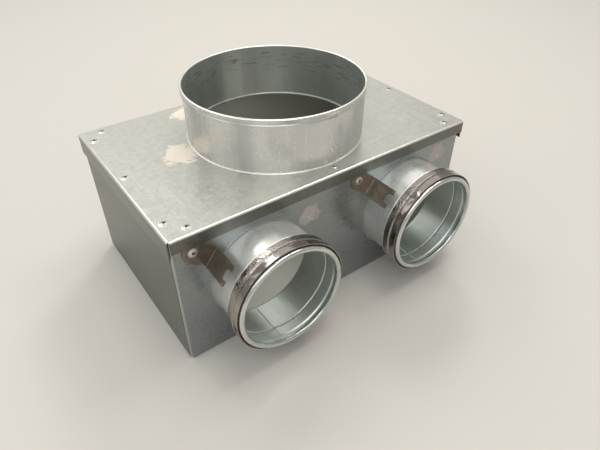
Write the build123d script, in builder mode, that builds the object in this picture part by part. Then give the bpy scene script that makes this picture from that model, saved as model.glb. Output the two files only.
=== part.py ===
from build123d import *
import os
from math import asin, cos, degrees, radians, sin

# Ventilation wall box: a folded sheet-metal plenum with one large spigot on its lid
# and two small sockets, each with a locking band and a pair of brackets, on its front.
# Millimetres, X to the right, Y to the back, Z up, origin at the centre of the base's underside.

# Sheet of the box and its lid
sheet = 1.0
fold_radius = 1.0
seam_strip = 2.5
end_flange = 11.0
end_clear = 2.0

# Sheet of the spigot and the sockets
tube_sheet = 0.8
tube_fold_radius = 1.0
hole_clearance = 0.1
lap_height = 0.6

# Spigot on the lid
spigot_diameter = 160.0
spigot_height = 48.5
spigot_margin = 15.25
spigot_lip = 1.5
spigot_lip_radius = 0.3
spigot_lap_angle = -85.0
spigot_lap_spread = 40.0
spigot_hem_radius = 0.8
spigot_hem_pinch = 14.0
spigot_hem_leg = 2.6
spigot_hem_flick = 45.0
spigot_hem_flick_radius = 1.5
spigot_hem_end = 0.6
lug_radius = 8.0
lug_reach = 9.0
lug_clear = 1.0
lug_spread_limit = 60.0

# Sockets on the front
socket_diameter = 90.0
socket_spacing = 156.8
socket_length = 45.6
socket_flange = 13.0
socket_base_gap = 7.3
socket_lap_width = 4.5
socket_lap_angle = -101.0
socket_hem_radius = 1.8
socket_hem_leg = 3.0
mouth_rise = 2.4
mouth_length = 4.2
flare_length = 3.6
flare_radius = 1.2
bead_height = 3.6
bead_width = 2.2
bead_radius = 0.6
bead_gap = 0.3

# Locking bands round the sockets
band_sheet = 0.6
band_width = 13.2
band_rise = 1.0
band_land = 5.3
band_seat = 0.6
band_fold_radius = 0.5
band_setback = 2.6

# Rubber seals between the sockets and the bands
seal_thickness = 2.7
seal_back_length = 2.4
seal_recess = 0.8
seal_clearance = 0.15

# Brackets beside the sockets
bracket_sheet = 0.8
bracket_fold_radius = 0.6
bracket_width = 17.6
bracket_angle = 141.0
bracket_stand = 5.2
bracket_length = 26.7
bracket_lean = 3.0
bracket_rivet_offset = 17.9
notch_radius = 4.5
notch_depth = 6.0

# Blind rivets
rivet_shank = 4.0
rivet_head = 8.0
rivet_head_height = 1.6
rivet_bulb = 5.2
rivet_bulb_length = 4.0
rivet_mandrel = 2.4
rivet_mandrel_depth = 1.4
rivet_clearance = 0.05
rivet_edge = 4.5
rivet_clear = 2.5

# Lid
lid_gap_left = 0.2
lid_gap_front = 1.2
lid_gap_far = 2.4
lid_front_drop = 11.5
lid_drop = 18.0
rivet_end_room = 0.2
rivet_side_room = 1.2
rivet_corner_end = 22.3
rivet_corner_side = 19.5

# Sizes that follow from the ones above
fold_outer = sheet + fold_radius
fold_middle = fold_radius + sheet / 2
socket_radius = socket_diameter / 2
spigot_radius = spigot_diameter / 2
socket_flange_radius = socket_radius + socket_flange
socket_height = socket_flange_radius + socket_base_gap
band_radius = socket_radius + seal_thickness + band_sheet / 2
band_lip_radius = band_radius + band_rise
band_front = socket_length - band_setback
band_back = band_front - band_width
band_middle = (band_front + band_back) / 2
bracket_radius = band_lip_radius + band_sheet / 2 + bracket_stand
bracket_rivet_radius = bracket_radius + bracket_rivet_offset
bracket_rivet_rise = bracket_rivet_radius * sin(radians(bracket_angle))
bracket_rivet_reach = -bracket_rivet_radius * cos(radians(bracket_angle))

# The rivets of the upper brackets stay clear of the fold along the lid's front
body_height = socket_height + bracket_rivet_rise + rivet_head / 2 + rivet_clear + lid_front_drop - sheet

# The end plates' flanges stay clear of the socket flanges and of the brackets' rivets
front_reach = max(socket_flange_radius, bracket_rivet_reach + rivet_bulb / 2)
body_length = socket_spacing + 2 * (front_reach + end_flange + end_clear)
lid_depth = spigot_diameter + 2 * spigot_margin
body_depth = lid_depth - 2 * sheet - lid_gap_front - lid_gap_far
wrapper_length = body_length - 2 * seam_strip
front_face = -body_depth / 2
back_face = body_depth / 2

# The lid sits tight to the left and the front, with its slack at the right and the back
lid_left = -body_length / 2 - lid_gap_left - sheet
lid_right = body_length / 2 + lid_gap_far + sheet
lid_front = front_face - lid_gap_front - sheet
lid_back = back_face + lid_gap_far + sheet
lid_top = body_height + sheet
lid_x = (lid_left + lid_right) / 2
lid_y = (lid_front + lid_back) / 2
socket_x = {"left": lid_x - socket_spacing / 2, "right": lid_x + socket_spacing / 2}

# Rivet places on the lid, clear of the folds beside them, and the flanges that they grip
rivet_from_fold = sheet + lid_gap_far + fold_outer + rivet_bulb / 2
rivet_from_end = rivet_from_fold + rivet_end_room
rivet_from_side = rivet_from_fold + rivet_side_room
side_rivet_x = [lid_left + rivet_corner_side, lid_x, lid_right - rivet_corner_side]
end_rivet_y = [lid_front + rivet_corner_end, lid_y, lid_back - rivet_corner_end]
front_rivets = [(x, lid_front + rivet_from_side) for x in side_rivet_x]
back_rivets = [(x, lid_back - rivet_from_side) for x in side_rivet_x]
left_rivets = [(lid_left + rivet_from_end, y) for y in end_rivet_y]
right_rivets = [(lid_right - rivet_from_end, y) for y in end_rivet_y]
lid_rivet_places = front_rivets + back_rivets + left_rivets + right_rivets
front_flange = lid_front + rivet_from_side + rivet_edge - front_face
back_flange = back_face - (lid_back - rivet_from_side - rivet_edge)
left_flange = lid_left + rivet_from_end + rivet_edge + body_length / 2
right_flange = body_length / 2 - (lid_right - rivet_from_end - rivet_edge)
rivet_hole = rivet_shank / 2 + rivet_clearance

# The spigot's lugs keep clear of the flanges along the long sides
weld_radius = spigot_radius + lug_reach
lug_rise = body_depth / 2 - lid_y - back_flange - lug_radius - lug_clear
lug_spread = min(lug_spread_limit, degrees(asin(min(1, lug_rise / weld_radius))))
lug_angles = [0, lug_spread, 180 - lug_spread, 180, 180 + lug_spread, -lug_spread]

# Each socket has one bracket at its upper left and one straight across from it
bracket_angles = {"upper": bracket_angle, "lower": bracket_angle + 180}


def bracket_rivet_place(side, angle):
    """Place of a bracket's rivet on the front, as X and Z."""
    reach = bracket_rivet_radius * cos(radians(angle))
    rise = bracket_rivet_radius * sin(radians(angle))
    return socket_x[side] + reach, socket_height + rise


bracket_rivet_places = [
    bracket_rivet_place(side, angle) for side in socket_x for angle in bracket_angles.values()
]

os.makedirs("parts", exist_ok=True)


def save(piece, name):
    """Label a finished piece and write it."""
    piece.part.label = name
    export_step(piece.part, f"parts/{name}.step")


# Wrapper: front, base and back folded from one sheet, with flanges turned in under the lid
wrapper_front = front_face + sheet / 2
wrapper_back = back_face - sheet / 2
wrapper_base = sheet / 2
wrapper_top = body_height - sheet / 2
with BuildPart() as wrapper:
    with BuildSketch(Plane.YZ.offset(-wrapper_length / 2)):
        with BuildLine():
            FilletPolyline(
                (front_face + front_flange, wrapper_top),
                (wrapper_front, wrapper_top),
                (wrapper_front, wrapper_base),
                (wrapper_back, wrapper_base),
                (wrapper_back, wrapper_top),
                (back_face - back_flange, wrapper_top),
                radius=fold_middle,
            )
        trace(line_width=sheet)
    extrude(amount=wrapper_length)
    # The end plates' flanges take the corners, so this one's flanges stop short of them
    with BuildSketch(Plane.XY.offset(body_height)):
        with Locations((-body_length / 2, 0)):
            Rectangle(left_flange + end_clear, body_depth, align=(Align.MIN, Align.CENTER))
        with Locations((body_length / 2, 0)):
            Rectangle(right_flange + end_clear, body_depth, align=(Align.MAX, Align.CENTER))
    extrude(amount=-fold_outer, mode=Mode.SUBTRACT)
    with BuildSketch(Plane.XY.offset(body_height)):
        with Locations(*front_rivets, *back_rivets):
            Circle(rivet_hole)
    extrude(amount=-fold_outer, mode=Mode.SUBTRACT)
    with BuildSketch(Plane.XZ.offset(-front_face)):
        with Locations(*[(x, socket_height) for x in socket_x.values()]):
            Circle(socket_radius + tube_fold_radius + hole_clearance)
        with Locations(*bracket_rivet_places):
            Circle(rivet_hole)
    extrude(amount=-fold_outer, mode=Mode.SUBTRACT)
save(wrapper, "wrapper")

# End plates: shallow trays with flanges inside the wrapper and under the lid
tray_front = front_face + sheet
tray_back = back_face - sheet
tray_base = sheet
for side, direction, top_flange, rivets in (
    ("left", 1, left_flange, left_rivets),
    ("right", -1, right_flange, right_rivets),
):
    face_x = -direction * body_length / 2
    plate_x = face_x + direction * sheet / 2
    flange_x = face_x + direction * end_flange
    with BuildPart() as end_plate:
        with BuildSketch(Plane.XZ.offset(-tray_front - fold_outer)):
            with BuildLine():
                FilletPolyline(
                    (face_x + direction * top_flange, wrapper_top),
                    (plate_x, wrapper_top),
                    (plate_x, tray_base + sheet / 2),
                    (flange_x, tray_base + sheet / 2),
                    radius=fold_middle,
                )
            trace(line_width=sheet)
        extrude(amount=-(tray_back - tray_front - 2 * fold_outer))
        with BuildSketch(Plane.XY.offset(tray_base + fold_outer)):
            with BuildLine():
                FilletPolyline(
                    (flange_x, tray_front + sheet / 2),
                    (plate_x, tray_front + sheet / 2),
                    (plate_x, tray_back - sheet / 2),
                    (flange_x, tray_back - sheet / 2),
                    radius=fold_middle,
                )
            trace(line_width=sheet)
        extrude(amount=body_height - tray_base - 2 * fold_outer)
        with BuildSketch(Plane.XY.offset(body_height)):
            with Locations(*rivets):
                Circle(rivet_hole)
        extrude(amount=-fold_outer, mode=Mode.SUBTRACT)
    save(end_plate, f"{side}_end_plate")

# Lid: a plate with its four edges folded down, open at the corners
lid_middle = lid_top - sheet / 2
with BuildPart() as lid:
    with BuildSketch(Plane.YZ.offset(lid_left + fold_outer)):
        with BuildLine():
            FilletPolyline(
                (lid_front + sheet / 2, lid_top - lid_front_drop),
                (lid_front + sheet / 2, lid_middle),
                (lid_back - sheet / 2, lid_middle),
                (lid_back - sheet / 2, lid_top - lid_drop),
                radius=fold_middle,
            )
        trace(line_width=sheet)
    extrude(amount=lid_right - lid_left - 2 * fold_outer)
    with BuildSketch(Plane.XZ.offset(-lid_front - fold_outer)):
        with BuildLine():
            FilletPolyline(
                (lid_left + sheet / 2, lid_top - lid_drop),
                (lid_left + sheet / 2, lid_middle),
                (lid_right - sheet / 2, lid_middle),
                (lid_right - sheet / 2, lid_top - lid_drop),
                radius=fold_middle,
            )
        trace(line_width=sheet)
    extrude(amount=-(lid_depth - 2 * fold_outer))
    with BuildSketch(Plane.XY.offset(lid_top)):
        with Locations((lid_x, lid_y)):
            Circle(spigot_radius + hole_clearance)
        with Locations(*lid_rivet_places):
            Circle(rivet_hole)
    extrude(amount=-fold_outer, mode=Mode.SUBTRACT)
save(lid, "lid")

# Spigot: a rolled tube with a lapped seam, a hem turned out at its rim, a narrow lip turned in
# at its foot and lugs under the lid
spigot_base = body_height - tube_sheet
spigot_rim = lid_top + spigot_height
spigot_middle = spigot_radius - tube_sheet / 2
spigot_foot = spigot_base + tube_sheet / 2
spigot_axis = Axis((lid_x, lid_y, 0), (0, 0, 1))


def round_spigot(radius, angle):
    """Point at this radius and angle about the spigot's axis, as X and Y."""
    return lid_x + radius * cos(radians(angle)), lid_y + radius * sin(radians(angle))


with BuildPart() as spigot:
    with BuildSketch(Plane(origin=(lid_x, lid_y, 0), x_dir=(1, 0, 0), z_dir=(0, -1, 0))):
        with BuildLine():
            wall = FilletPolyline(
                (spigot_radius - tube_sheet - spigot_lip, spigot_foot),
                (spigot_middle, spigot_foot),
                (spigot_middle, spigot_rim - tube_sheet / 2 - spigot_hem_radius),
                radius=spigot_lip_radius + tube_sheet / 2,
            )
            curl = JernArc(
                start=wall @ 1, tangent=wall % 1, radius=spigot_hem_radius, arc_size=-180 - spigot_hem_pinch
            )
            leg = Line(curl @ 1, curl @ 1 + spigot_hem_leg * (curl % 1))
            flick = JernArc(
                start=leg @ 1,
                tangent=leg % 1,
                radius=spigot_hem_flick_radius,
                arc_size=spigot_hem_flick,
            )
            Line(flick @ 1, flick @ 1 + spigot_hem_end * (flick % 1))
        trace(line_width=tube_sheet)
    revolve(axis=spigot_axis)
    # The outer sheet swells slowly out of the round and ends in a step, below the hem
    lap_root = spigot_radius - tube_sheet / 2
    lap_end = spigot_lap_angle
    lap_start = lap_end - spigot_lap_spread
    lap_half = (lap_start + lap_end) / 2
    hem_height = 2 * spigot_hem_radius + spigot_hem_leg + spigot_hem_flick_radius + spigot_hem_end
    with BuildSketch(Plane.XY.offset(lid_top)):
        with BuildLine():
            ThreePointArc(
                round_spigot(lap_root, lap_start),
                round_spigot((lap_root + spigot_radius + lap_height) / 2, lap_half),
                round_spigot(spigot_radius + lap_height, lap_end),
            )
            Line(round_spigot(spigot_radius + lap_height, lap_end), round_spigot(lap_root, lap_end))
            ThreePointArc(
                round_spigot(lap_root, lap_end),
                round_spigot(lap_root, lap_half),
                round_spigot(lap_root, lap_start),
            )
        make_face()
    extrude(amount=spigot_height - hem_height - lap_height)
    with BuildSketch(Plane((lid_x, lid_y, spigot_base))):
        for angle in lug_angles:
            with PolarLocations(weld_radius, 1, angle):
                Circle(lug_radius)
                Rectangle(lug_reach + tube_sheet, 2 * lug_radius, align=(Align.MAX, Align.CENTER))
        Circle(spigot_radius - tube_sheet, mode=Mode.SUBTRACT)
    extrude(amount=tube_sheet)
save(spigot, "top_spigot")

# Sockets, locking bands and seals: all turned about the socket's own axis
tube_middle = socket_radius - tube_sheet / 2
bead_end = band_back - bead_gap - tube_sheet / 2
bead_start = bead_end - bead_width + tube_sheet
tube_fold_middle = tube_fold_radius + tube_sheet / 2
flare_end = socket_length - mouth_length
flare_start = flare_end - flare_length
mouth_middle = tube_middle + mouth_rise
mouth_radius = socket_radius + mouth_rise
seal_front = band_front - seal_recess
seal_top = band_lip_radius - band_sheet / 2 - seal_clearance
seal_back = band_middle - seal_back_length
seal_waist = socket_radius + seal_thickness
for side, axis_x in socket_x.items():
    # Local X is the radius and local Y runs out of the front face
    section = Plane(origin=(axis_x, front_face, socket_height), x_dir=(1, 0, 0), z_dir=(0, 0, -1))
    turning_axis = Axis((axis_x, front_face, socket_height), (0, -1, 0))
    seam = radians(socket_lap_angle)
    seam_section = Plane(
        origin=(axis_x, front_face, socket_height),
        x_dir=(cos(seam), 0, sin(seam)),
        z_dir=(sin(seam), 0, -cos(seam)),
    )

    # A flange behind the front, a narrow folded bead and a flared mouth with a thick rolled lip
    with BuildPart() as socket:
        with BuildSketch(section):
            with BuildLine():
                tube = FilletPolyline(
                    (socket_flange_radius, -sheet - tube_sheet / 2),
                    (tube_middle, -sheet - tube_sheet / 2),
                    (tube_middle, bead_start),
                    (tube_middle + bead_height, bead_start),
                    (tube_middle + bead_height, bead_end),
                    (tube_middle, bead_end),
                    (tube_middle, flare_start),
                    (mouth_middle, flare_end),
                    (mouth_middle, socket_length - tube_sheet / 2 - socket_hem_radius),
                    radius=[tube_fold_middle] + 4 * [bead_radius] + 2 * [flare_radius],
                )
                curl = JernArc(
                    start=tube @ 1, tangent=tube % 1, radius=socket_hem_radius, arc_size=180
                )
                Line(curl @ 1, curl @ 1 - (0, socket_hem_leg))
            trace(line_width=tube_sheet)
        revolve(axis=turning_axis)
        with BuildSketch(seam_section):
            with Locations((socket_radius - tube_sheet, tube_fold_radius)):
                Rectangle(lap_height, bead_start - tube_fold_radius, align=(Align.MAX, Align.MIN))
            with Locations((socket_radius - tube_sheet, bead_end)):
                Rectangle(lap_height, flare_start - bead_end, align=(Align.MAX, Align.MIN))
        revolve(axis=turning_axis, revolution_arc=degrees(socket_lap_width / socket_radius))
    save(socket, f"{side}_socket")

    # A bright band that grips the seal at the crease between its two flat halves
    with BuildPart() as band:
        with BuildSketch(section):
            with BuildLine():
                FilletPolyline(
                    (band_lip_radius, band_back),
                    (band_lip_radius, band_back + band_land),
                    (band_radius, band_middle - band_seat / 2),
                    (band_radius, band_middle + band_seat / 2),
                    (band_lip_radius, band_front - band_land),
                    (band_lip_radius, band_front),
                    radius=band_fold_radius,
                )
            trace(line_width=band_sheet)
        revolve(axis=turning_axis)
    save(band, f"{side}_locking_band")

    # A black ring of rubber between the socket and the band, up to the flared mouth
    with BuildPart() as seal:
        with BuildSketch(section):
            with BuildLine():
                Polyline(
                    (socket_radius, seal_back),
                    (socket_radius, flare_start - flare_radius),
                    (mouth_radius + seal_clearance, flare_end - flare_radius),
                    (mouth_radius + seal_clearance, seal_front),
                    (seal_top, seal_front),
                    (seal_top, band_front - band_land + seal_clearance),
                    (seal_waist, band_middle + band_seat / 2 + band_sheet),
                    (seal_waist, seal_back),
                    close=True,
                )
            make_face()
        revolve(axis=turning_axis)
    save(seal, f"{side}_seal")

    # A riveted tab folded out into a plate that stands beside the socket
    for place, angle in bracket_angles.items():
        turn = radians(angle)
        radial = Vector(cos(turn), 0, sin(turn))
        across = Vector(-sin(turn), 0, cos(turn))
        tab_plane = Plane((axis_x, front_face, socket_height), x_dir=radial, z_dir=across)
        tab_middle = -bracket_sheet / 2
        plate_end = (
            bracket_radius + bracket_length * sin(radians(bracket_lean)),
            tab_middle - bracket_length * cos(radians(bracket_lean)),
        )
        notch_plane = Plane(
            tab_plane.from_local_coords((*plate_end, 0)),
            x_dir=across,
            z_dir=tab_plane.x_dir.rotate(Axis((0, 0, 0), across), bracket_lean),
        )
        rivet_x, rivet_z = bracket_rivet_place(side, angle)
        with BuildPart() as bracket:
            with BuildSketch(tab_plane.offset(-bracket_width / 2)):
                with BuildLine():
                    FilletPolyline(
                        (bracket_rivet_radius, tab_middle),
                        (bracket_radius, tab_middle),
                        plate_end,
                        radius=bracket_fold_radius + bracket_sheet / 2,
                    )
                trace(line_width=bracket_sheet)
            extrude(amount=bracket_width)
            with BuildSketch(Plane.XZ.offset(-front_face)):
                with Locations((rivet_x, rivet_z)):
                    Circle(bracket_width / 2)
            extrude(amount=bracket_sheet)
            with BuildSketch(Plane.XZ.offset(-front_face)):
                with Locations((rivet_x, rivet_z)):
                    Circle(rivet_hole)
            extrude(amount=bracket_sheet, mode=Mode.SUBTRACT)
            with BuildSketch(notch_plane):
                SlotOverall(2 * notch_depth, 2 * notch_radius, rotation=90)
            extrude(amount=bracket_fold_radius + bracket_sheet, both=True, mode=Mode.SUBTRACT)
        save(bracket, f"{side}_{place}_bracket")


def blind_rivet(grip):
    """A set blind rivet that grips from Z = -grip to Z = 0, with its head above."""
    head_radius = rivet_head / 2
    dome = ((head_radius**2 + rivet_head_height**2) / 2) / rivet_head_height
    with BuildPart() as rivet:
        with BuildSketch(Plane.XZ):
            with BuildLine():
                Polyline(
                    (0, rivet_head_height),
                    (0, -grip - rivet_bulb_length),
                    (rivet_bulb / 2, -grip - rivet_bulb_length),
                    (rivet_bulb / 2, -grip),
                    (rivet_shank / 2, -grip),
                    (rivet_shank / 2, 0),
                    (head_radius, 0),
                )
                RadiusArc((head_radius, 0), (0, rivet_head_height), dome)
            make_face()
        revolve(axis=Axis.Z)
        with Locations((0, 0, rivet_head_height)):
            Hole(rivet_mandrel / 2, depth=rivet_mandrel_depth)
    return rivet.part


# Blind rivets of the lid and of the brackets
lid_rivet = blind_rivet(2 * sheet)
with BuildPart() as lid_rivets:
    with Locations(*[(x, y, lid_top) for x, y in lid_rivet_places]):
        add(lid_rivet)
save(lid_rivets, "lid_rivets")

bracket_rivet = blind_rivet(sheet + bracket_sheet)
with BuildPart() as bracket_rivets:
    with Locations(*[(x, front_face - bracket_sheet, z) for x, z in bracket_rivet_places]):
        add(bracket_rivet, rotation=(90, 0, 0))
save(bracket_rivets, "bracket_rivets")
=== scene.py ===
import math

import bpy
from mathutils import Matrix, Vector


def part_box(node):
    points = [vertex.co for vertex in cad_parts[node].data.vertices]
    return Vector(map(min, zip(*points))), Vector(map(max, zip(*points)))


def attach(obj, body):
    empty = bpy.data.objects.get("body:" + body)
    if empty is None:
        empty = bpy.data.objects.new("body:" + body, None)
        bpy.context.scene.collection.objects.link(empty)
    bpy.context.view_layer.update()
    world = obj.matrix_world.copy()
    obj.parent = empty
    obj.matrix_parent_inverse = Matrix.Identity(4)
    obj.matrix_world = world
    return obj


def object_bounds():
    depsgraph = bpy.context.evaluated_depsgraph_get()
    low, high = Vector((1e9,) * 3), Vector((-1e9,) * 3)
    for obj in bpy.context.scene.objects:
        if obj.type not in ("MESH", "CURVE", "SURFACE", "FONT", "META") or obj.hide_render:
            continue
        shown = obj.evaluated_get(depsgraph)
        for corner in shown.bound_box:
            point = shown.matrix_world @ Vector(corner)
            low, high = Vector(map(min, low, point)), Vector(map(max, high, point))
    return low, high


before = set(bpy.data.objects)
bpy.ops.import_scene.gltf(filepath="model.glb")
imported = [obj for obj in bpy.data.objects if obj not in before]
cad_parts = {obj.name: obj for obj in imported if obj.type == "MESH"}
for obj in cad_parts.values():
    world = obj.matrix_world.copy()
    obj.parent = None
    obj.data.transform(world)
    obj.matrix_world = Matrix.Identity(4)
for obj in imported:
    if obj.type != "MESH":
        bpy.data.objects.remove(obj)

cad_low, cad_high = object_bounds()

# One millimetre in metres
MM = 0.001

# Places read from the frame
lid_low, lid_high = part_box("lid")
lid_top = lid_high.z
spigot_axis = (lid_low + lid_high) / 2
spigot_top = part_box("top_spigot")[1].z
wrapper_low, wrapper_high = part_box("wrapper")
front_face = wrapper_low.y
back_face = wrapper_high.y
left_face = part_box("left_end_plate")[0].x
right_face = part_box("right_end_plate")[1].x
socket_axes = {
    side: sum(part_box(f"{side}_locking_band"), Vector()) / 2 for side in ("left", "right")
}
band_crease = socket_axes["left"].y
socket_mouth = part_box("left_socket")[0].y
rivet_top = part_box("lid_rivets")[1].z
rivet_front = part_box("bracket_rivets")[0].y

# Sizes of the tubes and of the small details that are made here
SPIGOT_RADIUS = 80.0 * MM
SPIGOT_SHEET = 0.8 * MM
SPIGOT_LAP = 0.55 * MM
SOCKET_BORE = 44.2 * MM
FOOT_BEAD = 0.8 * MM
WELD_RING = 1.5 * MM
WELD_RIDGE = 0.3 * MM
RING_FLATNESS = 0.9
RIVET_REACH = 8.5 * MM
HEAD_ABOVE_LID = 0.2 * MM
HEAD_BEFORE_FRONT = 1.0 * MM
MANDREL_RADIUS = 1.15 * MM
MANDREL_LENGTH = 0.4 * MM
MANDREL_SINK = 0.55 * MM
MANDREL_RIM = 0.3 * MM
MANDREL_DIP = 0.12 * MM
UPWARD_NORMAL = 0.9
SMOOTH_ANGLE = math.radians(40)
QUARTER_TURN = math.radians(90)
FACE_UP = (0.0, 0.0, 0.0)
FACE_FRONT = (QUARTER_TURN, 0.0, 0.0)


def about_spigot(radius, degrees, height):
    """Point at a radius and an angle about the spigot's axis."""
    turn = math.radians(degrees)
    across = spigot_axis.x + radius * math.cos(turn)
    along = spigot_axis.y + radius * math.sin(turn)
    return (across, along, height)


def about_socket(side, radius, degrees):
    """Point on the front at a radius and an angle about a socket's axis."""
    turn = math.radians(degrees)
    across = socket_axes[side].x + radius * math.cos(turn)
    up = socket_axes[side].z + radius * math.sin(turn)
    return (across, front_face, up)


def linear(hex_colour):
    """Turn an sRGB hex colour into the linear colour that a shader takes."""
    shares = [int(hex_colour[i:i + 2], 16) / 255 for i in (1, 3, 5)]
    toned = [c / 12.92 if c <= 0.04045 else ((c + 0.055) / 1.055) ** 2.4 for c in shares]
    return (*toned, 1.0)


def per_metre(size_mm):
    """Pattern scale that gives features of about this size in millimetres."""
    return 1 / (size_mm * MM)


def set_inputs(tree, node, inputs):
    """Give a node its inputs, each a plain value or another node's output."""
    for name, value in inputs.items():
        if isinstance(value, bpy.types.NodeSocket):
            tree.links.new(value, node.inputs[name])
        else:
            node.inputs[name].default_value = value


def add_node(tree, kind, inputs=None, **settings):
    """Add a node with its settings and inputs."""
    made = tree.nodes.new(kind)
    for name, value in settings.items():
        setattr(made, name, value)
    set_inputs(tree, made, inputs or {})
    return made


# Numbers of a Mix node's sockets, because several of them share a name
MIX_SHARE = 0
FLOAT_A = 2
FLOAT_B = 3
COLOUR_A = 6
COLOUR_B = 7
FLOAT_OUT = 0
COLOUR_OUT = 2


def start_material(name):
    """A bare Principled material, with its tree, its shader and the object's coordinates."""
    material = bpy.data.materials.new(name)
    material.use_nodes = True
    tree = material.node_tree
    tree.nodes.clear()
    shader = add_node(tree, "ShaderNodeBsdfPrincipled")
    add_node(tree, "ShaderNodeOutputMaterial", {"Surface": shader.outputs["BSDF"]})
    place = add_node(tree, "ShaderNodeTexCoord").outputs["Object"]
    return material, tree, shader, place


# Value about which a noise or a crystal's random colour varies
PATTERN_MIDDLE = 0.5


def swayed(tree, value, patterns):
    """Move a value by each pattern's distance from its middle, times the pattern's share."""
    for pattern, share in patterns:
        offset = add_node(
            tree, "ShaderNodeMath", {0: pattern, 1: PATTERN_MIDDLE}, operation="SUBTRACT"
        ).outputs["Value"]
        value = add_node(
            tree, "ShaderNodeMath", {0: offset, 1: share, 2: value}, operation="MULTIPLY_ADD"
        ).outputs["Value"]
    return value


# Hot-dip galvanised sheet: a satin zinc skin with a fine sparkle of small crystals, faint clouds
# and rolling lines, that mirrors its surroundings softly; brushed paint covers the weld burns.
# Its grain is finer on the real sheet and is drawn as coarse as it needs to show.
SPANGLE_MM = 3.2
SPANGLE_TILT = 0.05
CRYSTAL_SHARE = 0.25
GRAIN_MM = 1.0
GRAIN_SHARE = 0.6
CLOUD_MM = 30.0
CLOUD_SHARE = 0.35
LINE_LENGTH_MM = 120.0
LINE_WIDTH_MM = 1.8
LINE_SHARE = 0.3
STREAK_LENGTH_MM = 260.0
STREAK_WIDTH_MM = 16.0
STREAK_SHARE = 0.5
WAVE_MM = 120.0
WAVE_DEPTH = 1.5 * MM
WAVE_STRENGTH = 0.25
ZINC_METAL = 0.88
LID_METAL = 0.68
TUBE_METAL = 0.72
BORE_METAL = 0.86
INSIDE_METAL = 0.55

# Skins that a zone of the sheet can have, some of them painted light or shade: how its tint is blended
# in, tint, roughness, metal share
# Near-white tint on the lid's fold and the spigot's rim: a painted highlight over a smoother skin
PAINTED_HIGHLIGHT_FOLD = ("MIX", "#F4F3EE", 0.3, ZINC_METAL)
BRIGHT_LIP = ("MULTIPLY", "#E9E9E7", 0.2, ZINC_METAL)
SHADED_EDGE = ("MULTIPLY", "#9A9B98", 0.3, ZINC_METAL)
# Lighter tints on the end plates' strips by the front and back corners: painted light, with a painted
# highlight along the front seam
PAINTED_LIGHT_FRONT_SEAM = ("MIX", "#AEB2B1", 0.26, ZINC_METAL)
PAINTED_LIGHT_BACK_SEAM = ("MIX", "#8E9190", 0.3, ZINC_METAL)
# Lighter, duller tint on the box's inner faces: painted light on the shaded inside of the box
PAINTED_LIGHT_INSIDE = ("MIX", "#BFBFB7", 0.4, INSIDE_METAL)
TUBE_INSIDE = ("MULTIPLY", "#EDF4F2", 0.38, BORE_METAL)
RUBBED_ZINC = ("MULTIPLY", "#A6AAAA", 0.46, BORE_METAL)
LID_PAINT = ("MIX", "#DED6C9", 0.6, 0.0)
FRONT_PAINT = ("MIX", "#B6ADA8", 0.6, 0.0)


def zinc_tone(tree, place, crystal, line_axis, speckle, mottle):
    """Light and dark of the zinc: crystals, grain, clouds, rolling lines and wide streaks."""
    patterns = [(crystal, CRYSTAL_SHARE * speckle)]
    for size_mm, detail, breakup, share in (
        (GRAIN_MM, 2.0, 0.6, GRAIN_SHARE * speckle),
        (CLOUD_MM, 5.0, 0.62, CLOUD_SHARE * mottle),
    ):
        noise = add_node(
            tree,
            "ShaderNodeTexNoise",
            {"Vector": place, "Scale": per_metre(size_mm), "Detail": detail, "Roughness": breakup},
        ).outputs["Fac"]
        patterns.append((noise, share))
    for width_mm, length_mm, share in (
        (LINE_WIDTH_MM, LINE_LENGTH_MM, LINE_SHARE),
        (STREAK_WIDTH_MM, STREAK_LENGTH_MM, STREAK_SHARE * mottle),
    ):
        scale = [per_metre(width_mm)] * 3
        scale[line_axis] = per_metre(length_mm)
        stretched = add_node(
            tree, "ShaderNodeMapping", {"Vector": place, "Scale": scale}
        ).outputs["Vector"]
        noise = add_node(
            tree, "ShaderNodeTexNoise", {"Vector": stretched, "Scale": 1.0, "Detail": 2.0}
        ).outputs["Fac"]
        patterns.append((noise, share))
    return swayed(tree, PATTERN_MIDDLE, patterns)


def zinc_relief(tree, place, spangle, sparkle):
    """The skin is not quite flat: slow waves of the sheet, and a small tilt of each crystal."""
    waves = add_node(
        tree,
        "ShaderNodeTexNoise",
        {"Vector": place, "Scale": per_metre(WAVE_MM), "Detail": 1.0, "Roughness": 0.4},
    ).outputs["Fac"]
    waved = add_node(
        tree, "ShaderNodeBump", {"Height": waves, "Strength": WAVE_STRENGTH, "Distance": WAVE_DEPTH}
    ).outputs["Normal"]
    from_middle = add_node(
        tree,
        "ShaderNodeVectorMath",
        {0: place, 1: spangle.outputs["Position"]},
        operation="SUBTRACT",
    ).outputs["Vector"]
    lean = add_node(
        tree,
        "ShaderNodeVectorMath",
        {0: spangle.outputs["Color"], 1: [PATTERN_MIDDLE] * 3},
        operation="SUBTRACT",
    ).outputs["Vector"]
    facet = add_node(
        tree, "ShaderNodeVectorMath", {0: from_middle, 1: lean}, operation="DOT_PRODUCT"
    ).outputs["Value"]
    return add_node(
        tree,
        "ShaderNodeBump",
        {"Height": facet, "Strength": sparkle, "Distance": SPANGLE_TILT, "Normal": waved},
    ).outputs["Normal"]


# Inside of a tube: its skin starts within the wall, and rub marks follow the rim
BORE_FADE_START = 0.35 * MM
BORE_FADE_END = 0.15 * MM
RUB_LENGTH_MM = 13.0
RUB_WIDTH_MM = 1.8
RUB_FAINT = 0.54
RUB_FULL = 0.76


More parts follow.
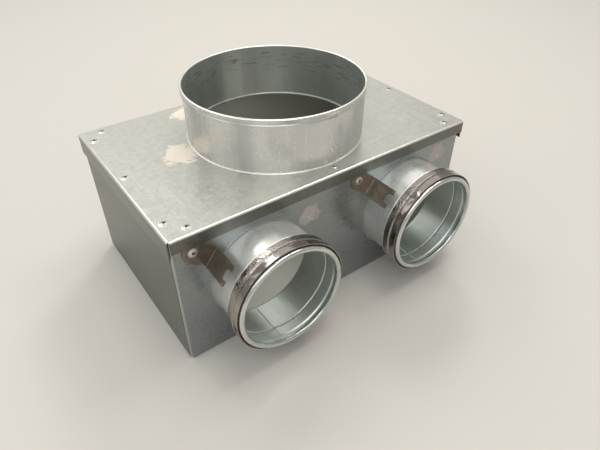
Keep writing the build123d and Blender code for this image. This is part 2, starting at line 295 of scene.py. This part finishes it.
def tube_inside(tree, place, centre, across, radius):
    """Share that is 1 on the inside of a tube; across drops the tube's axis."""
    offset = add_node(
        tree, "ShaderNodeVectorMath", {0: place, 1: centre}, operation="SUBTRACT"
    ).outputs["Vector"]
    flat = add_node(
        tree, "ShaderNodeVectorMath", {0: offset, 1: across}, operation="MULTIPLY"
    ).outputs["Vector"]
    reach = add_node(tree, "ShaderNodeVectorMath", {0: flat}, operation="LENGTH").outputs["Value"]
    limits = {"From Min": radius + BORE_FADE_START, "From Max": radius + BORE_FADE_END}
    return add_node(tree, "ShaderNodeMapRange", {"Value": reach, **limits}).outputs["Result"]


def rub_marks(tree, place, inside, height, middle, half):
    """Share of faint marks on a tube's inside, within a ring about the middle height."""
    sizes_mm = (RUB_LENGTH_MM, RUB_LENGTH_MM, RUB_WIDTH_MM)
    scale = [per_metre(size_mm) for size_mm in sizes_mm]
    stretched = add_node(
        tree, "ShaderNodeMapping", {"Vector": place, "Scale": scale}
    ).outputs["Vector"]
    noise = add_node(
        tree, "ShaderNodeTexNoise", {"Vector": stretched, "Scale": 1.0, "Detail": 3.0}
    ).outputs["Fac"]
    limits = {"From Min": RUB_FAINT, "From Max": RUB_FULL}
    rubbed = add_node(tree, "ShaderNodeMapRange", {"Value": noise, **limits}).outputs["Result"]
    near_rim = add_node(
        tree, "ShaderNodeMath", {0: height, 1: middle, 2: half}, operation="COMPARE"
    ).outputs["Value"]
    for share in (near_rim, inside):
        rubbed = add_node(
            tree, "ShaderNodeMath", {0: rubbed, 1: share}, operation="MULTIPLY"
        ).outputs["Value"]
    return rubbed


# Brushed paint: hairs leave ragged ends along the stroke, and the dabs a lumpy outline.
# Scales and edges are in half sizes of the patch.
HAIR_STRETCH = (0.8, 6.0, 6.0)
HAIR_SCALE = 1.6
HAIR_SHARE = 1.2
LUMP_SCALE = 1.7
LUMP_SHARE = 1.3
PAINT_EDGE_OUTER = 0.93
PAINT_EDGE_INNER = 0.85
PAINT_COVER = 0.9
PAINT_THICKNESS = 0.15 * MM
PAINT_STRENGTH = 0.6


def paint_patches(tree, place, patches):
    """Share that is 1 where brushed paint lies."""
    painted = 0.0
    for centre, half_sizes, turn in patches:
        local = add_node(
            tree,
            "ShaderNodeMapping",
            {"Vector": place, "Location": centre, "Rotation": turn, "Scale": half_sizes},
            vector_type="TEXTURE",
        ).outputs["Vector"]
        stretched = add_node(
            tree, "ShaderNodeMapping", {"Vector": local, "Scale": HAIR_STRETCH}
        ).outputs["Vector"]
        hairs = add_node(
            tree, "ShaderNodeTexNoise", {"Vector": stretched, "Scale": HAIR_SCALE, "Detail": 3.0}
        ).outputs["Fac"]
        lumps = add_node(
            tree, "ShaderNodeTexNoise", {"Vector": local, "Scale": LUMP_SCALE, "Detail": 2.0}
        ).outputs["Fac"]
        reach = add_node(
            tree, "ShaderNodeVectorMath", {0: local}, operation="LENGTH"
        ).outputs["Value"]
        reach = swayed(tree, reach, ((hairs, HAIR_SHARE), (lumps, LUMP_SHARE)))
        limits = {"From Min": PAINT_EDGE_OUTER, "From Max": PAINT_EDGE_INNER}
        patch = add_node(tree, "ShaderNodeMapRange", {"Value": reach, **limits}).outputs["Result"]
        painted = add_node(
            tree, "ShaderNodeMath", {0: painted, 1: patch}, operation="MAXIMUM"
        ).outputs["Value"]
    return painted


def galvanised_steel(
    name,
    light,
    dark,
    roughness,
    line_axis,
    mottle,
    metal=ZINC_METAL,
    speckle=1.0,
    sparkle=1.0,
    bore=None,
    rubs=None,
    spans=(),
    planes=(),
    patches=(),
    paint=None,
):
    """Galvanised sheet; its zones have their own skin, the later ones over the earlier.

    The roughness is that of the dark and of the light tone. A bore is a tube's centre, the
    directions across it and its radius, and rubs are a middle height and half the band's height.
    A span is an axis, a middle, a half width and a skin, and a plane an axis, where its skin
    starts, where it is full, and the skin.
    """
    material, tree, shader, place = start_material(name)
    axes = add_node(tree, "ShaderNodeSeparateXYZ", {"Vector": place})
    spangle = add_node(tree, "ShaderNodeTexVoronoi", {"Vector": place, "Scale": per_metre(SPANGLE_MM)})
    crystal = add_node(
        tree, "ShaderNodeSeparateColor", {"Color": spangle.outputs["Color"]}
    ).outputs["Red"]
    tone = zinc_tone(tree, place, crystal, line_axis, speckle, mottle)
    colour = add_node(
        tree,
        "ShaderNodeMix",
        {MIX_SHARE: tone, COLOUR_A: linear(dark), COLOUR_B: linear(light)},
        data_type="RGBA",
    ).outputs[COLOUR_OUT]
    rough = add_node(
        tree,
        "ShaderNodeMapRange",
        {"Value": tone, "To Min": roughness[0], "To Max": roughness[1]},
    ).outputs["Result"]

    # Zones: a tube's inside and its rub marks, what lies within a span, what lies past a plane
    zones = []
    if bore:
        inside = tube_inside(tree, place, *bore)
        zones.append((inside, TUBE_INSIDE))
        if rubs:
            zones.append((rub_marks(tree, place, inside, axes.outputs["Z"], *rubs), RUBBED_ZINC))
    for axis, middle, half, skin in spans:
        within = add_node(
            tree, "ShaderNodeMath", {0: axes.outputs[axis], 1: middle, 2: half}, operation="COMPARE"
        ).outputs["Value"]
        zones.append((within, skin))
        sparkle = add_node(
            tree, "ShaderNodeMix", {MIX_SHARE: within, FLOAT_A: sparkle, FLOAT_B: 0.0}
        ).outputs[FLOAT_OUT]
    for axis, start, end, skin in planes:
        past = add_node(
            tree,
            "ShaderNodeMapRange",
            {"Value": axes.outputs[axis], "From Min": start, "From Max": end},
        ).outputs["Result"]
        zones.append((past, skin))
    normal = zinc_relief(tree, place, spangle, sparkle)
    if patches:
        painted = paint_patches(tree, place, patches)
        film = add_node(
            tree, "ShaderNodeMath", {0: painted, 1: PAINT_COVER}, operation="MULTIPLY"
        ).outputs["Value"]
        zones.append((film, paint))
        relief = {"Strength": PAINT_STRENGTH, "Distance": PAINT_THICKNESS, "Normal": normal}
        normal = add_node(tree, "ShaderNodeBump", {"Height": painted, **relief}).outputs["Normal"]
    for zone, (blend, tint, skin_rough, skin_metal) in zones:
        colour = add_node(
            tree,
            "ShaderNodeMix",
            {MIX_SHARE: zone, COLOUR_A: colour, COLOUR_B: linear(tint)},
            data_type="RGBA",
            blend_type=blend,
        ).outputs[COLOUR_OUT]
        rough = add_node(
            tree, "ShaderNodeMix", {MIX_SHARE: zone, FLOAT_A: rough, FLOAT_B: skin_rough}
        ).outputs[FLOAT_OUT]
        metal = add_node(
            tree, "ShaderNodeMix", {MIX_SHARE: zone, FLOAT_A: metal, FLOAT_B: skin_metal}
        ).outputs[FLOAT_OUT]
    set_inputs(
        tree,
        shader,
        {"Base Color": colour, "Roughness": rough, "Metallic": metal, "Normal": normal},
    )
    return material


# Bright rolled stainless strip with sharp reflections that shallow dents bend and finger smears dull;
# its rough half breaks them up. Its browner, darker colour than zinc is a painted reflection of a
# brown floor.
SMEAR_MM = 14.0
STRIP_GRAIN_MM = 1.6
STRIP_GRAIN_DEPTH = 0.35 * MM
DENT_MM = 8.0
DENT_DEPTH = 0.9 * MM
DENT_STRENGTH = 0.6
CREASE_HALF = 0.3 * MM
SMOOTH_HALF_GRAIN = 0.1


def stainless_strip(name, light, dark, roughness, metal, rough_from):
    """Bright stainless strip; behind the plane at rough_from its surface is uneven."""
    material, tree, shader, place = start_material(name)
    smears = add_node(
        tree,
        "ShaderNodeTexNoise",
        {"Vector": place, "Scale": per_metre(SMEAR_MM), "Detail": 4.0, "Roughness": 0.6},
    ).outputs["Fac"]
    rough = add_node(
        tree,
        "ShaderNodeMapRange",
        {"Value": smears, "To Min": roughness[0], "To Max": roughness[1]},
    ).outputs["Result"]
    depth = add_node(tree, "ShaderNodeSeparateXYZ", {"Vector": place}).outputs["Y"]
    limits = {"From Min": rough_from - CREASE_HALF, "From Max": rough_from + CREASE_HALF}
    uneven = add_node(
        tree, "ShaderNodeMapRange", {"Value": depth, **limits, "To Min": SMOOTH_HALF_GRAIN}
    ).outputs["Result"]
    dents = add_node(
        tree, "ShaderNodeTexNoise", {"Vector": place, "Scale": per_metre(DENT_MM), "Detail": 1.0}
    ).outputs["Fac"]
    dented = add_node(
        tree, "ShaderNodeBump", {"Height": dents, "Strength": DENT_STRENGTH, "Distance": DENT_DEPTH}
    ).outputs["Normal"]
    grain = add_node(
        tree,
        "ShaderNodeTexNoise",
        {"Vector": place, "Scale": per_metre(STRIP_GRAIN_MM), "Detail": 2.0},
    ).outputs["Fac"]
    normal = add_node(
        tree,
        "ShaderNodeBump",
        {"Height": grain, "Strength": uneven, "Distance": STRIP_GRAIN_DEPTH, "Normal": dented},
    ).outputs["Normal"]
    colour = add_node(
        tree,
        "ShaderNodeMix",
        {MIX_SHARE: smears, COLOUR_A: linear(dark), COLOUR_B: linear(light)},
        data_type="RGBA",
    ).outputs[COLOUR_OUT]
    set_inputs(
        tree,
        shader,
        {"Base Color": colour, "Roughness": rough, "Metallic": metal, "Normal": normal},
    )
    return material


# Grained surfaces with two tones: rubber is matt with a grey bloom, rivet aluminium is bare and
# scuffed by the riveter's nosepiece, mandrel steel is darker steel, rough where it snapped, painted
# near black as the shade in the rivet holes, and the bright edge is bare zinc painted near white as a
# highlight.
RELIEF_STRENGTH = 0.4


def grained(name, light, dark, size_mm, metal, roughness, depth_mm):
    """A surface of one metal share and roughness whose tone and relief follow a fine grain."""
    material, tree, shader, place = start_material(name)
    grain = add_node(
        tree, "ShaderNodeTexNoise", {"Vector": place, "Scale": per_metre(size_mm), "Detail": 3.0}
    ).outputs["Fac"]
    relief = {"Strength": RELIEF_STRENGTH, "Distance": depth_mm * MM}
    normal = add_node(tree, "ShaderNodeBump", {"Height": grain, **relief}).outputs["Normal"]
    colour = add_node(
        tree,
        "ShaderNodeMix",
        {MIX_SHARE: grain, COLOUR_A: linear(dark), COLOUR_B: linear(light)},
        data_type="RGBA",
    ).outputs[COLOUR_OUT]
    set_inputs(
        tree,
        shader,
        {"Base Color": colour, "Roughness": roughness, "Metallic": metal, "Normal": normal},
    )
    return material


# Painted weld burns on the lid above the spigot's lugs: angle in degrees about the spigot,
# radius, half length and half width in millimetres, turn in degrees
PATCH_REACH = 12.0 * MM
LID_PATCHES = [
    (
        about_spigot(radius * MM, angle, lid_top),
        (length * MM, width * MM, PATCH_REACH),
        (0.0, 0.0, math.radians(turn)),
    )
    for angle, radius, length, width, turn in (
        (175.5, 93.0, 16.5, 17.0, 160),
        (127.0, 94.0, 13.0, 13.0, 130),
        (53.0, 94.0, 14.0, 12.0, 40),
        (3.0, 93.0, 13.0, 14.0, 10),
    )
]

# Painted weld burns on the front: the side, then the same values about that side's socket
FRONT_PATCHES = [
    (
        about_socket(side, radius * MM, angle),
        (length * MM, PATCH_REACH, width * MM),
        (0.0, -math.radians(turn), 0.0),
    )
    for side, angle, radius, length, width, turn in (
        ("left", 33.5, 58.5, 11.5, 9.5, 20),
        ("right", 41.5, 58.5, 11.0, 10.5, 30),
    )
]

# Where the zones lie: measured from the lid's top, the panels' outsides, the rim and the mouth
FOLD_MIDDLE = 0.65 * MM
FOLD_HALF = 0.6 * MM
LID_EDGE_START = 1.2 * MM
LID_EDGE_END = 1.8 * MM
PANEL_SKIN = 0.5 * MM
SEAM_START = 2.0 * MM
SEAM_END = 1.4 * MM
RIM_HALF = 0.7 * MM
RUB_BELOW_RIM = 15.0 * MM
RUB_HALF = 9.0 * MM
LIP_START = 4.2 * MM
LIP_END = 3.4 * MM
ACROSS_SPIGOT = (1.0, 1.0, 0.0)
ACROSS_SOCKET = (1.0, 0.0, 1.0)
ALONG_X = 0
ALONG_Y = 1
ALONG_Z = 2
depth_middle = (front_face + back_face) / 2
depth_half = (back_face - front_face) / 2
width_middle = (left_face + right_face) / 2
width_half = (right_face - left_face) / 2

galvanised_lid = galvanised_steel(
    "galvanised_lid",
    light="#CBCBC4",
    dark="#ABACA6",
    roughness=(0.27, 0.37),
    line_axis=ALONG_Y,
    mottle=0.6,
    metal=LID_METAL,
    # The fold's band carries a painted highlight
    spans=[("Z", lid_top - FOLD_MIDDLE, FOLD_HALF, PAINTED_HIGHLIGHT_FOLD)],
    planes=[("Z", lid_top - LID_EDGE_START, lid_top - LID_EDGE_END, SHADED_EDGE)],
    patches=LID_PATCHES,
    paint=LID_PAINT,
)
galvanised_wrapper = galvanised_steel(
    "galvanised_wrapper",
    light="#A0A4A4",
    dark="#8B9090",
    roughness=(0.24, 0.32),
    line_axis=ALONG_X,
    mottle=0.6,
    speckle=0.45,
    sparkle=0.6,
    # The wrapper's inner faces carry painted light
    spans=[("Y", depth_middle, depth_half - PANEL_SKIN, PAINTED_LIGHT_INSIDE)],
    patches=FRONT_PATCHES,
    paint=FRONT_PAINT,
)
# The end plates' dark tones are painted shade of the side turned from the light; the sheet is the same
# galvanised steel
galvanised_ends_painted_shade = galvanised_steel(
    "galvanised_ends_painted_shade",
    light="#73746E",
    dark="#5C5D58",
    roughness=(0.28, 0.38),
    line_axis=ALONG_Y,
    mottle=0.8,
    sparkle=0.6,
    # The end plates' inner faces carry painted light
    spans=[("X", width_middle, width_half - PANEL_SKIN, PAINTED_LIGHT_INSIDE)],
    planes=[
        # The corner strips carry painted light
        ("Y", front_face + SEAM_START, front_face + SEAM_END, PAINTED_LIGHT_FRONT_SEAM),
        ("Y", back_face - SEAM_START, back_face - SEAM_END, PAINTED_LIGHT_BACK_SEAM),
    ],
)
galvanised_spigot = galvanised_steel(
    "galvanised_spigot",
    light="#EBE9DF",
    dark="#B4B5BA",
    roughness=(0.22, 0.32),
    line_axis=ALONG_Z,
    mottle=1.3,
    metal=TUBE_METAL,
    speckle=0.2,
    sparkle=0.25,
    bore=(spigot_axis, ACROSS_SPIGOT, SPIGOT_RADIUS - SPIGOT_SHEET),
    rubs=(spigot_top - RUB_BELOW_RIM, RUB_HALF),
    # The rim's band carries a painted highlight
    spans=[("Z", spigot_top, RIM_HALF, PAINTED_HIGHLIGHT_FOLD)],
)
galvanised_sockets = {
    side: galvanised_steel(
        f"galvanised_{side}_socket",
        light="#F5F5F2",
        dark="#CCD0CF",
        roughness=(0.24, 0.36),
        line_axis=ALONG_Y,
        mottle=1.4,
        metal=TUBE_METAL,
        speckle=0.7,
        sparkle=0.4,
        bore=(socket_axis, ACROSS_SOCKET, SOCKET_BORE),
        planes=[("Y", socket_mouth + LIP_START, socket_mouth + LIP_END, BRIGHT_LIP)],
    )
    for side, socket_axis in socket_axes.items()
}
# The band's brown-grey tones are a painted reflection of a brown floor
stainless_band_painted_reflection = stainless_strip(
    "stainless_band_painted_reflection",
    light="#B8B3AD",
    dark="#7C766F",
    roughness=(0.08, 0.2),
    metal=1.0,
    rough_from=band_crease,
)
# The brackets have no rough half, so its plane is put behind the whole box
# The bracket's brown tones are a painted reflection of a brown floor
stainless_bracket_painted_reflection = stainless_strip(
    "stainless_bracket_painted_reflection",
    light="#9A9186",
    dark="#766D64",
    roughness=(0.2, 0.3),
    metal=0.86,
    rough_from=cad_high.y,
)
black_rubber = grained(
    "black_rubber",
    light="#2B2A29",
    dark="#131313",
    size_mm=0.6,
    metal=0.0,
    roughness=0.62,
    depth_mm=0.1,
)
rivet_aluminium = grained(
    "rivet_aluminium",
    light="#E4E3DF",
    dark="#B7B6B2",
    size_mm=1.6,
    metal=0.9,
    roughness=0.26,
    depth_mm=0.04,
)
# Near-white bare zinc of the foot bead: a painted highlight along its edge
foot_bead_painted_highlight = grained(
    "foot_bead_painted_highlight",
    light="#F8F7F2",
    dark="#E6E5E0",
    size_mm=4.0,
    metal=0.85,
    roughness=0.36,
    depth_mm=0.01,
)
# Near-black tone: painted shade in the rivet holes over the mandrels' darker steel
mandrel_steel_painted_shade = grained(
    "mandrel_steel_painted_shade",
    light="#2A2723",
    dark="#0E0D0B",
    size_mm=0.5,
    metal=0.3,
    roughness=0.6,
    depth_mm=0.2,
)


def dress(piece, finish):
    """Give a piece one finish all over."""
    piece.data.materials.clear()
    piece.data.materials.append(finish)


# Finishes of the pieces that the frame holds
FINISHES = {
    "lid": galvanised_lid,
    "wrapper": galvanised_wrapper,
    "top_spigot": galvanised_spigot,
    "lid_rivets": rivet_aluminium,
    "bracket_rivets": rivet_aluminium,
}
for side in socket_axes:
    # The end plates carry painted shade
    FINISHES[f"{side}_end_plate"] = galvanised_ends_painted_shade
    FINISHES[f"{side}_socket"] = galvanised_sockets[side]
    FINISHES[f"{side}_locking_band"] = stainless_band_painted_reflection
    FINISHES[f"{side}_seal"] = black_rubber
    FINISHES[f"{side}_upper_bracket"] = stainless_bracket_painted_reflection
    FINISHES[f"{side}_lower_bracket"] = stainless_bracket_painted_reflection
for node_name, finish in FINISHES.items():
    dress(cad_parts[node_name], finish)


def start_primitive(add, **sizes):
    """Add one primitive with nothing else selected."""
    bpy.ops.object.select_all(action="DESELECT")
    add(**sizes)
    return bpy.context.object


def flatten_ring():
    """Press the new ring a little flat along its axis."""
    bpy.ops.object.mode_set(mode="EDIT")
    bpy.ops.mesh.select_all(action="SELECT")
    bpy.ops.transform.resize(value=(1.0, 1.0, RING_FLATNESS))
    bpy.ops.object.mode_set(mode="OBJECT")


def copies(shape, spots):
    """Copies of a shape with their own meshes, at pairs of a place and a turn; the shape goes."""
    made = []
    for place, turn in spots:
        copy = shape.copy()
        copy.data = shape.data.copy()
        copy.location = place
        copy.rotation_euler = turn
        bpy.context.scene.collection.objects.link(copy)
        made.append(copy)
    bpy.data.objects.remove(shape)
    return made


def finish_piece(parts, name, finish):
    """Join the parts into one piece at the origin that rides with the box."""
    bpy.ops.object.select_all(action="DESELECT")
    for part in parts:
        part.select_set(True)
    bpy.context.view_layer.objects.active = parts[0]
    bpy.ops.object.join()
    piece = bpy.context.object
    bpy.ops.object.transform_apply(location=True, rotation=True, scale=True)
    bpy.ops.object.shade_smooth_by_angle(angle=SMOOTH_ANGLE)
    piece.name = name
    dress(piece, finish)
    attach(piece, "root")


def head_middles(node_name, is_head):
    """Middles of a node's rivet heads, from the points of its mesh that lie on a head."""
    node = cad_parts[node_name]
    heads = []
    for vertex in node.data.vertices:
        point = node.matrix_world @ vertex.co
        if not is_head(point):
            continue
        for head in heads:
            if (point - head[0]).length < RIVET_REACH:
                head.append(point)
                break
        else:
            heads.append([point])
    return [
        Vector([(min(values) + max(values)) / 2 for values in zip(*head)]) for head in heads
    ]


# Mandrel ends: the snapped steel stems that fill the holes of the blind rivets, torn in the middle
stem = start_primitive(
    bpy.ops.mesh.primitive_cylinder_add,
    vertices=20,
    radius=MANDREL_RADIUS,
    depth=MANDREL_LENGTH,
)
bpy.ops.object.mode_set(mode="EDIT")
bpy.ops.mesh.select_mode(type="FACE")
bpy.ops.mesh.select_all(action="DESELECT")
bpy.ops.object.mode_set(mode="OBJECT")
for face in stem.data.polygons:
    face.select = face.normal.z > UPWARD_NORMAL
bpy.ops.object.mode_set(mode="EDIT")
bpy.ops.mesh.inset(thickness=MANDREL_RIM, depth=-MANDREL_DIP)
bpy.ops.object.mode_set(mode="OBJECT")
stem_spots = [
    ((middle.x, middle.y, rivet_top - MANDREL_SINK), FACE_UP)
    for middle in head_middles("lid_rivets", lambda point: point.z > lid_top + HEAD_ABOVE_LID)
]
stem_spots += [
    ((middle.x, rivet_front + MANDREL_SINK, middle.z), FACE_FRONT)
    for middle in head_middles(
        "bracket_rivets", lambda point: point.y < front_face - HEAD_BEFORE_FRONT
    )
]
# The mandrels carry painted shade in the rivet holes
finish_piece(copies(stem, stem_spots), "rivet_mandrels", mandrel_steel_painted_shade)

# Foot bead: the narrow edge where the lid grips the spigot, whitened as a painted highlight
bead = start_primitive(
    bpy.ops.mesh.primitive_torus_add,
    location=(spigot_axis.x, spigot_axis.y, lid_top),
    major_segments=192,
    minor_segments=12,
    major_radius=SPIGOT_RADIUS + FOOT_BEAD / 2,
    minor_radius=FOOT_BEAD,
)
flatten_ring()
finish_piece([bead], "spigot_foot_bead", foot_bead_painted_highlight)

# Spot welds: small rings pressed into the sheet, on the spigot's lap and under the front's patches.
# Angles in degrees about the spigot or the socket, heights and radii in millimetres.
SPIGOT_WELDS = ((-89.5, 24.8), (-89.0, 12.7))
FRONT_WELDS = (("left", 31.0, 56.5), ("right", 38.0, 56.5))
lap_spots = [
    (
        about_spigot(SPIGOT_RADIUS + SPIGOT_LAP, angle, lid_top + height * MM),
        (0.0, QUARTER_TURN, math.radians(angle)),
    )
    for angle, height in SPIGOT_WELDS
]
front_spots = [
    (about_socket(side, radius * MM, angle), FACE_FRONT) for side, angle, radius in FRONT_WELDS
]
for piece_name, spots in (("spigot_spot_welds", lap_spots), ("front_spot_welds", front_spots)):
    ring = start_primitive(
        bpy.ops.mesh.primitive_torus_add,
        major_segments=24,
        minor_segments=8,
        major_radius=WELD_RING,
        minor_radius=WELD_RIDGE,
    )
    flatten_ring()
    finish_piece(copies(ring, spots), piece_name, galvanised_spigot)

# Floor: plain, pale and matt
FLOOR_SIZE = 30.0
FLOOR_COLOUR = linear("#C0BDB8")
FLOOR_ROUGHNESS = 0.75
floor = start_primitive(
    bpy.ops.mesh.primitive_plane_add, size=FLOOR_SIZE, location=(0.0, 0.0, cad_low.z)
)
floor.name = "floor"
pale_floor, floor_tree, floor_shader, _ = start_material("pale_floor")
set_inputs(floor_tree, floor_shader, {"Base Color": FLOOR_COLOUR, "Roughness": FLOOR_ROUGHNESS})
dress(floor, pale_floor)

# Light: a main lamp from the back right that the metal doesn't mirror, lamps and cards behind,
# beside and above the box that it does, a wide soft lamp on the camera's side, an even pale room.
# Each row: name, direction from the box, distance and width in metres, watts, colour, mirrored.
LAMPS = (
    ("main_lamp", (0.5, 0.5, 0.71), 2.2, 0.5, 13.0, "#FFFAF2", False),
    ("back_card", (0.35, 0.65, 0.67), 2.4, 2.2, 10.0, "#FDFAF4", True),
    ("edge_lamp", (-0.15, 0.68, 0.72), 2.2, 0.7, 8.0, "#FFFDF8", True),
    ("side_lamp", (0.5, 0.0, 0.86), 2.2, 0.7, 8.0, "#FFFDF8", True),
    ("top_lamp", (0.05, -0.1, 1.0), 1.6, 0.7, 8.0, "#FFF8EC", True),
    ("left_card", (-0.75, 0.2, 0.63), 2.2, 1.5, 8.0, "#FBFAF6", True),
    ("soft_lamp", (-0.42, -0.55, 0.72), 2.2, 1.9, 18.0, "#F8F9FA", True),
)
ROOM_COLOUR = linear("#F2F1EC")
ROOM_STRENGTH = 0.48
for lamp_name, direction, distance, width, watts, colour, mirrored in LAMPS:
    lamp = bpy.data.lights.new(lamp_name, "AREA")
    lamp.size = width
    lamp.energy = watts
    lamp.color = linear(colour)[:3]
    lamp_holder = bpy.data.objects.new(lamp_name, lamp)
    bpy.context.scene.collection.objects.link(lamp_holder)
    away = Vector(direction).normalized()
    lamp_holder.location = spigot_axis + away * distance
    lamp_holder.rotation_mode = "QUATERNION"
    lamp_holder.rotation_quaternion = away.to_track_quat("Z", "Y")
    lamp_holder.visible_glossy = mirrored
room = bpy.data.worlds.new("room")
room.use_nodes = True
background = room.node_tree.nodes["Background"]
set_inputs(room.node_tree, background, {"Color": ROOM_COLOUR, "Strength": ROOM_STRENGTH})
bpy.context.scene.world = room
bpy.context.scene.view_settings.view_transform = "Standard"

# Camera where the photograph was taken from, measured from the lid's near left corner
CAMERA_OFFSET = Vector((-80.98, -262.88, 224.02)) * MM
CAMERA_FORWARD = Vector((0.4617, 0.6313, -0.6231))
CAMERA_LENS_MM = 30.61
CAMERA_SENSOR_MM = 36.0
camera = bpy.data.cameras.new("camera")
camera.sensor_width = CAMERA_SENSOR_MM
camera.sensor_fit = "HORIZONTAL"
camera.lens = CAMERA_LENS_MM
camera_holder = bpy.data.objects.new("camera", camera)
bpy.context.scene.collection.objects.link(camera_holder)
camera_holder.location = Vector((lid_low.x, lid_low.y, lid_top)) + CAMERA_OFFSET
camera_holder.rotation_mode = "QUATERNION"
camera_holder.rotation_quaternion = CAMERA_FORWARD.to_track_quat("-Z", "Y")
bpy.context.scene.camera = camera_holder
